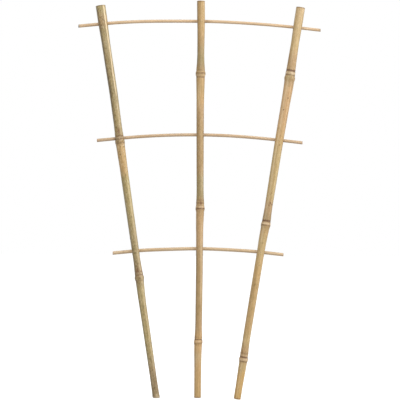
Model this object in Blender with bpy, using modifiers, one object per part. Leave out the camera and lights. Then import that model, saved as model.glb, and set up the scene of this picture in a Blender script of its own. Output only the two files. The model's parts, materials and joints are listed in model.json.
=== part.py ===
"""Bamboo ladder trellis: three whole canes that fan out upwards, three thin rods of split bamboo
threaded through holes drilled in them, and a wire pin that locks each crossing. Metres, +Z up, the
front faces -Y. The origin is on the ground, on the axis of the centre cane."""

from collections import namedtuple
from math import cos, pi, radians, sin, tan

import bmesh
import bpy
from mathutils import Matrix, Vector

# Canes: what all three share
CANE_LENGTH = 0.600
CANE_WALL = 0.0035
SEPTUM = 0.004  # thickness of the wall that closes a cane inside at each joint
LEAST_BORE = 0.0012  # where its bore would be narrower than this, a cane has grown solid
RIDGE = 0.0025  # height of the ridge round a joint
SWELL_ABOVE = 0.028  # a cane starts to swell this far above a joint
SWELL_BELOW = 0.040  # and has thinned out again this far below it
FLARE_START = 0.055  # a cane widens towards its sawn top from this depth
FLARE_END = 0.025  # to this one

# The swelling above and below a ridge: points as shares of its reach and of the ridge's own swell
SWELL_OUTLINE_ABOVE = ((1.0, 0.0), (0.6, 0.16), (0.36, 0.42), (0.12, 0.58))
SWELL_OUTLINE_BELOW = ((0.11, 0.50), (1.0, 0.0))

# A cane's foot_x is where its foot stands, foot_rise how far that lies above the ground where the cane
# doesn't stand on it, level_foot whether it was sawn level instead of square, lean its tilt in
# degrees, cut_short how much shorter than planned its top was sawn, hole_lifts how much higher than
# planned its holes were drilled, and crown the diameter of its sawn top. Depths are measured down from
# the planned top. A crook is a depth and how far the axis lies there to the right of a straight one.
# The internodes run from the planned top down: each has its length, its diameter at the upper and at
# the lower end of its plain stretch, and the diameter of the ridge at the joint below.
Internode = namedtuple("Internode", "length upper lower ridge", defaults=(None,))
CANE_FIELDS = "name foot_x foot_rise level_foot lean cut_short hole_lifts crown colour crooks internodes"
Cane = namedtuple("Cane", CANE_FIELDS)
CANES = (
    Cane(
        name="left",
        foot_x=-0.0623,
        foot_rise=0.0017,
        level_foot=True,
        lean=-8.59,
        cut_short=0.0015,
        hole_lifts=(0.0022, -0.0006, -0.0005),
        crown=0.0148,
        colour=(0.42, 0.34, 0.17),
        crooks=(
            (0.055, 0.0001), (0.135, 0.0009), (0.205, 0.0001), (0.350, 0.0001),
            (0.415, 0.0003), (0.450, -0.0005), (0.485, -0.0003),
        ),
        internodes=(
            Internode(0.210, 0.0130, 0.0121, 0.0150),
            Internode(0.2075, 0.0121, 0.0110, 0.0145),
            Internode(0.1805, 0.0110, 0.0103, 0.0113),
            Internode(0.180, 0.0106, 0.0100),
        ),
    ),
    Cane(
        name="centre",
        foot_x=0.0,
        foot_rise=0.0023,
        level_foot=False,
        lean=0.0,
        cut_short=0.0005,
        hole_lifts=(0.0002, 0.0006, 0.0006),
        crown=0.0119,
        colour=(0.50, 0.36, 0.19),
        crooks=(
            (0.040, 0.0006), (0.160, 0.0003), (0.255, 0.0009), (0.314, 0.0015),
            (0.342, 0.0010), (0.410, 0.0012), (0.505, 0.0006), (0.530, 0.0),
        ),
        internodes=(
            Internode(0.110, 0.0110, 0.0107, 0.0153),
            Internode(0.2045, 0.0115, 0.0107, 0.0140),
            Internode(0.2015, 0.0106, 0.0103, 0.0132),
            Internode(0.180, 0.0106, 0.0100),
        ),
    ),
    Cane(
        name="right",
        foot_x=0.0599,
        foot_rise=None,
        level_foot=False,
        lean=8.72,
        cut_short=0.0006,
        hole_lifts=(0.0, -0.0003, 0.0002),
        crown=0.0134,
        colour=(0.52, 0.38, 0.16),
        crooks=(
            (0.080, 0.0004), (0.125, 0.0010), (0.200, 0.0002), (0.300, 0.0004), (0.332, 0.0006),
            (0.355, -0.0003), (0.435, -0.0006), (0.505, -0.0007), (0.543, 0.0),
        ),
        internodes=(
            Internode(0.109, 0.0122, 0.0131, 0.0165),
            Internode(0.2245, 0.0136, 0.0117, 0.0147),
            Internode(0.206, 0.0116, 0.0112, 0.0138),
            Internode(0.180, 0.0108, 0.0108),
        ),
    ),
)

# Rods: every cane is drilled for them at the same distances below its planned top. Each rod has its
# diameter and its overhang at the left and right ends, and its sags: how far it hangs midway between
# the canes, on the left and on the right, below the curve that it would bend to
TOP_HOLE_DEPTH = 0.0315
HOLE_SPACING = 0.172
OFF_SQUARE = 2.7  # a rod crosses an outer cane this many degrees flatter than square to it
ROD_COLOUR = (0.60, 0.41, 0.25)
Rod = namedtuple("Rod", "name left_diameter right_diameter left_overhang right_overhang sags")
RODS = (
    Rod("top", 0.0050, 0.0046, 0.0373, 0.0349, (0.0, 0.0003)),
    Rod("middle", 0.0050, 0.0048, 0.0339, 0.0351, (0.0, 0.0)),
    Rod("bottom", 0.0054, 0.0051, 0.0344, 0.0344, (0.0005, 0.0004)),
)

# Wire pins, driven from the front through the cane's wall into the rod
PIN_LENGTH = 0.009
PIN_SHANK = 0.0012
PIN_HEAD = 0.0019
PIN_HEAD_HEIGHT = 0.0004
PIN_POINT = 0.0012
PIN_COLOUR = (0.30, 0.28, 0.25)

# How rough each material is, and how much of a metal
CANE_ROUGHNESS = 0.45
ROD_ROUGHNESS = 0.55
PIN_ROUGHNESS = 0.40
PIN_METALLIC = 1.0

GAP = 0.0003  # clearance between two pieces that touch
PROUD = 0.002  # how far a drill reaches out of what it cuts
WELD = 1e-6  # points closer than this are one
SHARP_EDGE = 40  # an edge that turns more degrees than this is shaded sharp

# Faces round each piece, and the step between the rings of a bent rod
CANE_SIDES = 32
BORE_SIDES = 16
ROD_SIDES = 14
DRILL_SIDES = 16
PIN_SIDES = 12
ROD_STEP = 0.009


def clear_scene():
    for obj in list(bpy.data.objects):
        bpy.data.objects.remove(obj, do_unlink=True)


def collection(name):
    group = bpy.data.collections.new(name)
    bpy.context.scene.collection.children.link(group)
    return group


def material(name, colour, roughness, metallic=0.0):
    mat = bpy.data.materials.new(name)
    mat.use_nodes = True
    shader = mat.node_tree.nodes["Principled BSDF"]
    shader.inputs["Base Color"].default_value = (*colour, 1.0)
    shader.inputs["Roughness"].default_value = roughness
    shader.inputs["Metallic"].default_value = metallic
    return mat


def ramp(x, points):
    """Straight-line reading at x of (position, value) points in rising order, level past both ends."""
    if x <= points[0][0]:
        return points[0][1]
    for (x0, y0), (x1, y1) in zip(points, points[1:]):
        if x <= x1:
            return y0 + (y1 - y0) * (x - x0) / (x1 - x0)
    return points[-1][1]


def sawn_top(cane):
    return CANE_LENGTH - cane.cut_short


def stretches(cane):
    """Each internode with the heights above the foot between which it grew, before it was sawn."""
    top = CANE_LENGTH
    for internode in cane.internodes:
        yield internode, top - internode.length, top
        top -= internode.length


def joints(cane):
    """The joints that a sawn cane keeps: height above its foot, internode above, internode below."""
    grown = list(stretches(cane))
    return [(low, above, below) for (above, low, _), (below, _, _) in zip(grown, grown[1:]) if low > 0]


def radius_points(cane):
    """Outer radius by height: straight tapers, a ridge on a longer swelling at each joint, and a
    flare towards the sawn top."""
    crown, neck = cane.crown / 2, cane.internodes[0].upper / 2
    points = [(CANE_LENGTH, crown), (CANE_LENGTH - FLARE_END, crown), (CANE_LENGTH - FLARE_START, neck)]
    for height, above, below in joints(cane):
        ridge = above.ridge / 2
        points += [(height + RIDGE / 2, ridge), (height - RIDGE / 2, ridge)]
        for reach, outline, plain in (
            (SWELL_ABOVE, SWELL_OUTLINE_ABOVE, above.lower / 2),
            (-SWELL_BELOW, SWELL_OUTLINE_BELOW, below.upper / 2),
        ):
            points += [(height + reach * far, plain + share * (ridge - plain)) for far, share in outline]
    points.append(next((low, internode.lower / 2) for internode, low, top in stretches(cane) if low <= 0))
    return sorted(points)


def radius(cane, height):
    return ramp(height, radius_points(cane))


def foot(cane):
    """Centre of the sawn foot. A cane whose foot has no rise stands on its lowest edge."""
    standing = radius(cane, 0.0) * sin(radians(abs(cane.lean)))
    return Vector((cane.foot_x, 0.0, standing if cane.foot_rise is None else cane.foot_rise))


def crook_points(cane):
    return [(CANE_LENGTH - depth, offset) for depth, offset in reversed(cane.crooks) if depth < CANE_LENGTH]


def axis_point(cane, height):
    """Point on the cane's slightly crooked axis, which is straight from one crook to the next."""
    lean = radians(cane.lean)
    up = Vector((sin(lean), 0.0, cos(lean)))
    right = Vector((cos(lean), 0.0, -sin(lean)))
    sway = ramp(height, [(0.0, 0.0), *crook_points(cane), (CANE_LENGTH, 0.0)])
    return foot(cane) + up * height + right * sway


def hole_height(cane, row):
    return CANE_LENGTH - TOP_HOLE_DEPTH - row * HOLE_SPACING + cane.hole_lifts[row]


def crossing(cane, row):
    return axis_point(cane, hole_height(cane, row))


def rod_slope(cane):
    """How steeply a rod rises to the right where it crosses this cane."""
    if not cane.lean:
        return 0.0
    slope = tan(radians(abs(cane.lean) - OFF_SQUARE))
    return slope if cane.lean < 0 else -slope


def rod_height(row, x):
    """A rod bends as a cubic from one crossing to the next, less its sag, and is straight past the
    outer canes."""
    knots = [(crossing(cane, row), rod_slope(cane)) for cane in CANES]
    (first, first_slope), (last, last_slope) = knots[0], knots[-1]
    if x <= first.x:
        return first.z + first_slope * (x - first.x)
    if x >= last.x:
        return last.z + last_slope * (x - last.x)
    bays = zip(knots, knots[1:], RODS[row].sags)
    (p, p_slope), (q, q_slope), sag = next(bay for bay in bays if x <= bay[1][0].x)
    span, rise = q.x - p.x, q.z - p.z
    t = (x - p.x) / span
    leaving, arriving = p_slope * span - rise, rise - q_slope * span
    bow = t * (1 - t) * ((1 - t) * leaving + t * arriving)
    return p.z + t * rise + bow - sag * (4 * t * (1 - t)) ** 2


def rod_ends(rod, row):
    left, right = crossing(CANES[0], row), crossing(CANES[-1], row)
    return left.x - rod.left_overhang, right.x + rod.right_overhang


def rod_radius(rod, row, x):
    start, end = rod_ends(rod, row)
    return ramp(x, [(start, rod.left_diameter / 2), (end, rod.right_diameter / 2)])


def stem(name, points, radii, sides, group):
    """A round stem along points, as thick as radii say: a bevelled curve with both ends filled, made
    into a mesh whose end caps are welded on, so that it can be drilled or used as a bore."""
    curve = bpy.data.curves.new(name, "CURVE")
    curve.dimensions = "3D"
    curve.bevel_depth = 1.0
    curve.bevel_resolution = sides // 2 - 2
    curve.use_fill_caps = True
    spline = curve.splines.new("POLY")
    spline.points.add(len(points) - 1)
    for slot, point, thickness in zip(spline.points, points, radii):
        slot.co = (*point, 1.0)
        slot.radius = thickness
    guide = bpy.data.objects.new(name + "_guide", curve)
    group.objects.link(guide)
    bpy.context.view_layer.update()
    bevelled = guide.evaluated_get(bpy.context.evaluated_depsgraph_get())
    mesh = bpy.data.meshes.new_from_object(bevelled)
    mesh.name = name
    obj = bpy.data.objects.new(name, mesh)
    obj.matrix_world = guide.matrix_world.copy()
    bpy.data.objects.remove(guide, do_unlink=True)
    work = bmesh.new()
    work.from_mesh(mesh)
    bmesh.ops.remove_doubles(work, verts=work.verts, dist=WELD)
    bmesh.ops.recalc_face_normals(work, faces=work.faces)
    work.to_mesh(mesh)
    work.free()
    mesh.shade_smooth()
    mesh.set_sharp_from_angle(angle=radians(SHARP_EDGE))
    group.objects.link(obj)
    return obj


def turned(name, profile, seat, group):
    """A profile of (radius, depth) points turned about its axis, which runs back along +Y from seat.
    Its sides are turned half a step, so that no corner of a pin lies on the front edge of a cane."""
    mesh = bpy.data.meshes.new(name)
    edges = [(i, i + 1) for i in range(len(profile) - 1)]
    mesh.from_pydata([(out, 0.0, -depth) for out, depth in profile], edges, [])
    obj = bpy.data.objects.new(name, mesh)
    obj.location = seat
    obj.rotation_euler = (pi / 2, pi / PIN_SIDES, 0.0)
    group.objects.link(obj)
    screw = obj.modifiers.new("turned", "SCREW")
    screw.angle = 2 * pi
    screw.steps = screw.render_steps = PIN_SIDES
    screw.use_merge_vertices = True
    screw.merge_threshold = WELD
    screw.use_smooth_shade = False
    return obj


def drill(name, middle, along, length, diameter, group):
    """A plain drill: a cylinder centred on middle whose axis points along. Its sides are turned half
    a step, so that its edges pass between the edges on the flanks of the cane and of its bore."""
    mesh = bpy.data.meshes.new(name)
    work = bmesh.new()
    bmesh.ops.create_cone(
        work,
        cap_ends=True,
        segments=DRILL_SIDES,
        radius1=diameter / 2,
        radius2=diameter / 2,
        depth=length,
        matrix=Matrix.Rotation(pi / DRILL_SIDES, 4, "Z"),
    )
    work.to_mesh(mesh)
    work.free()
    obj = bpy.data.objects.new(name, mesh)
    turn = Vector((0.0, 0.0, 1.0)).rotation_difference(along)
    obj.matrix_world = Matrix.Translation(middle) @ turn.to_matrix().to_4x4()
    group.objects.link(obj)
    return obj


def cut(target, cutter):
    cutter.hide_render = True
    cutter.display_type = "WIRE"
    boolean = target.modifiers.new("cut by " + cutter.name, "BOOLEAN")
    boolean.operation = "DIFFERENCE"
    boolean.solver = "EXACT"
    boolean.object = cutter


def bore(cane, internode, low, top, group):
    """The hollow of one internode, between the walls at its joints. It follows the internode's own
    taper, so that a cane's wall has one thickness between two joints. Only a hollow that a sawn end
    or a rod's hole opens is cut: one shut at both ends stays filled."""
    bottom = low + SEPTUM / 2 if low > 0 else -PROUD
    mouth = top - SEPTUM / 2 if top < CANE_LENGTH else CANE_LENGTH + PROUD
    holes = [hole_height(cane, row) for row in range(len(RODS))]
    opened = mouth > CANE_LENGTH or bottom < 0 or any(bottom < hole < mouth for hole in holes)
    inside = [(low, internode.lower / 2 - CANE_WALL), (top, internode.upper / 2 - CANE_WALL)]
    radii = [ramp(bottom, inside), ramp(mouth, inside)]
    if not opened or mouth < bottom + SEPTUM or min(radii) < LEAST_BORE / 2:
        return None
    points = [axis_point(cane, bottom), axis_point(cane, mouth)]
    return stem(f"bore_{cane.name}_{round(top * 1000)}", points, radii, BORE_SIDES, group)


def saw(cane, group):
    """What the saw took off a foot that was cut level: a block whose top face is the cut."""
    mesh = bpy.data.meshes.new("saw_" + cane.name)
    work = bmesh.new()
    side = 2 * cane.crown
    middle = foot(cane) - Vector((0.0, 0.0, side / 2))
    bmesh.ops.create_cube(work, size=side, matrix=Matrix.Translation(middle))
    work.to_mesh(mesh)
    work.free()
    obj = bpy.data.objects.new("saw_" + cane.name, mesh)
    group.objects.link(obj)
    return obj


def make_cane(cane, parts, cutters):
    start = -PROUD if cane.level_foot else 0.0
    shaped = [*radius_points(cane), *crook_points(cane)]
    end = sawn_top(cane)
    heights = sorted({start, end, *(height for height, _ in shaped if start < height < end)})
    points = [axis_point(cane, height) for height in heights]
    radii = [radius(cane, height) for height in heights]
    obj = stem(f"cane_{cane.name}", points, radii, CANE_SIDES, parts)
    obj.data.materials.append(material(f"bamboo_{cane.name}", cane.colour, CANE_ROUGHNESS))
    for internode, low, top in stretches(cane):
        hollow = bore(cane, internode, low, top, cutters)
        if hollow:
            cut(obj, hollow)
    if cane.level_foot:
        cut(obj, saw(cane, cutters))
    return obj


def make_rod(rod, row, parts):
    start, end = rod_ends(rod, row)
    count = round((end - start) / ROD_STEP)
    xs = [start + (end - start) * i / count for i in range(count + 1)]
    points = [(x, 0.0, rod_height(row, x)) for x in xs]
    radii = [rod_radius(rod, row, x) for x in xs]
    obj = stem(f"rod_{rod.name}", points, radii, ROD_SIDES, parts)
    obj.data.materials.append(material(f"split_bamboo_{rod.name}", ROD_COLOUR, ROD_ROUGHNESS))
    return obj


def drill_for_rod(cane_obj, cane, rod, row, cutters):
    """The hole runs straight through the cane, in the rod's own direction where they cross."""
    middle = crossing(cane, row)
    along = Vector((1.0, 0.0, rod_slope(cane))).normalized()
    width = 2 * (rod_radius(rod, row, middle.x) + GAP)
    length = 2 * (radius(cane, hole_height(cane, row)) + width)
    cut(cane_obj, drill(f"drill_{rod.name}_{cane.name}", middle, along, length, width, cutters))


def pin_profile(gap, start):
    """Flat head, straight shank and point, every face of it moved out by gap, from depth start."""
    head, shank = PIN_HEAD / 2 + gap, PIN_SHANK / 2 + gap
    neck, tip = PIN_HEAD_HEIGHT + gap, PIN_LENGTH + gap
    return [(0.0, start), (head, start), (head, neck), (shank, neck), (shank, tip - PIN_POINT), (0.0, tip)]


def make_pin(cane_obj, cane, rod_obj, rod, row, parts, cutters):
    """The pin's head lies flush with the front of the cane, and its shank locks the rod."""
    seat = crossing(cane, row) - Vector((0.0, radius(cane, hole_height(cane, row)), 0.0))
    name = f"pin_{rod.name}_{cane.name}"
    pin = turned(name, pin_profile(0.0, 0.0), seat, parts)
    pin.data.materials.append(material("steel_" + name, PIN_COLOUR, PIN_ROUGHNESS, PIN_METALLIC))
    hole = turned("hole_for_" + name, pin_profile(GAP, -PROUD), seat, cutters)
    cut(cane_obj, hole)
    cut(rod_obj, hole)


def main():
    clear_scene()
    parts = collection("bamboo_ladder_trellis")
    cutters = collection("drills_and_bores")
    canes = [(cane, make_cane(cane, parts, cutters)) for cane in CANES]
    for row, rod in enumerate(RODS):
        rod_obj = make_rod(rod, row, parts)
        for cane, cane_obj in canes:
            drill_for_rod(cane_obj, cane, rod, row, cutters)
            make_pin(cane_obj, cane, rod_obj, rod, row, parts, cutters)


main()
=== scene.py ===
"""Looks of a bamboo ladder trellis: three hollow canes that fan out upwards, three bowed rods of split
bamboo threaded through them, and the wire pins that lock the crossings. Metres, +Z up, front -Y."""

import json
from collections import namedtuple

import bpy
import numpy as np
from mathutils import Matrix, Vector

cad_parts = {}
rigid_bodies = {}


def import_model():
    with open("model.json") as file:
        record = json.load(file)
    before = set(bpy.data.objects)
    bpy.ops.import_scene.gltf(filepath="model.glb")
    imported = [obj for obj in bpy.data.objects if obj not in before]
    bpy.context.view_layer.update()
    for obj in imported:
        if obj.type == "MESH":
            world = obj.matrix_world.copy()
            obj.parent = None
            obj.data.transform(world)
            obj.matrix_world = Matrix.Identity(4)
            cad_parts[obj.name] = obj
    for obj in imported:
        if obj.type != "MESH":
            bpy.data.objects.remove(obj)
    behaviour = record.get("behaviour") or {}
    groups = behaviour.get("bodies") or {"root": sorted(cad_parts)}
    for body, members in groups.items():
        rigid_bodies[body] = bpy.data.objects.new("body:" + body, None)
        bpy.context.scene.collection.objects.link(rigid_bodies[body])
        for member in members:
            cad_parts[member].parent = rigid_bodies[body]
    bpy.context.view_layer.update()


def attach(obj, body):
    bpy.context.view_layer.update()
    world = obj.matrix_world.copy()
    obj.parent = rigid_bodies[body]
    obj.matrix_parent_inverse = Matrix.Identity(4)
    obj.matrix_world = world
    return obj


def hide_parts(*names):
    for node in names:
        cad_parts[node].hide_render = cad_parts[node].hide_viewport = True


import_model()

# The canes: whole stems of a small bamboo, hollow from joint to joint and sawn square at both ends.
# They stand side by side in one plane and fan out upwards, each drilled through for the three rods.
CANE_LENGTH = 0.600
CANE_WALL = 0.0035
CANE_SIDES = 96
SEPTUM = 0.003  # the wall that shuts a cane inside at each joint
SAW_EDGE = 0.00025  # width of the bevel that handling leaves round a sawn end
FRONT = np.radians(-90.0)  # turn round a cane is counted from its right towards its back

# A cane's tones of skin
STRAW = (0.66, 0.49, 0.26)
PALE_STRAW = (0.71, 0.53, 0.32)
PEACH = (0.73, 0.49, 0.26)
SAND = (0.65, 0.44, 0.21)
WHEAT = (0.63, 0.47, 0.24)
PINK_AMBER = (0.70, 0.46, 0.25)
HONEY = (0.70, 0.46, 0.19)
WARM_TAN = (0.64, 0.42, 0.20)
TAN = (0.60, 0.41, 0.20)
ROSE = (0.62, 0.415, 0.225)
ROSE_TAN = (0.55, 0.37, 0.20)
COCOA = (0.51, 0.35, 0.18)
KHAKI = (0.52, 0.42, 0.20)
OLIVE = (0.46, 0.36, 0.18)
DRY_GRASS = (0.46, 0.36, 0.16)
GREY_OLIVE = (0.42, 0.33, 0.17)
MOSS = (0.42, 0.32, 0.145)
UMBER = (0.41, 0.29, 0.15)
DARK_UMBER = (0.36, 0.26, 0.14)

# Heights run up a cane's axis from its foot. The side on which a mark lies is how far right of the
# middle it is, seen from the front, as a share of the radius there.
#
# Joint: height of its ridge, and the width of the plain cane above it and below it, and of the ridge
Joint = namedtuple("Joint", "height above below ridge")
# Scar: a line round the cane, its half width, how dark it is, or how pale if negative, and its relief
Scar = namedtuple("Scar", "height reach stain rise")
# Bud: the reddish mark where a side shoot sat
Bud = namedtuple("Bud", "height side size")
# Streak: a stripe up the skin, its half width, and how much paler it is, or duller if negative. Duller
# streaks along the flanks are painted shade, and paler ones right of the middle mostly painted highlight.
Streak = namedtuple("Streak", "low high side reach paler")
# Dot: a small dark spot, with its half width
Dot = namedtuple("Dot", "height side size")
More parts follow.
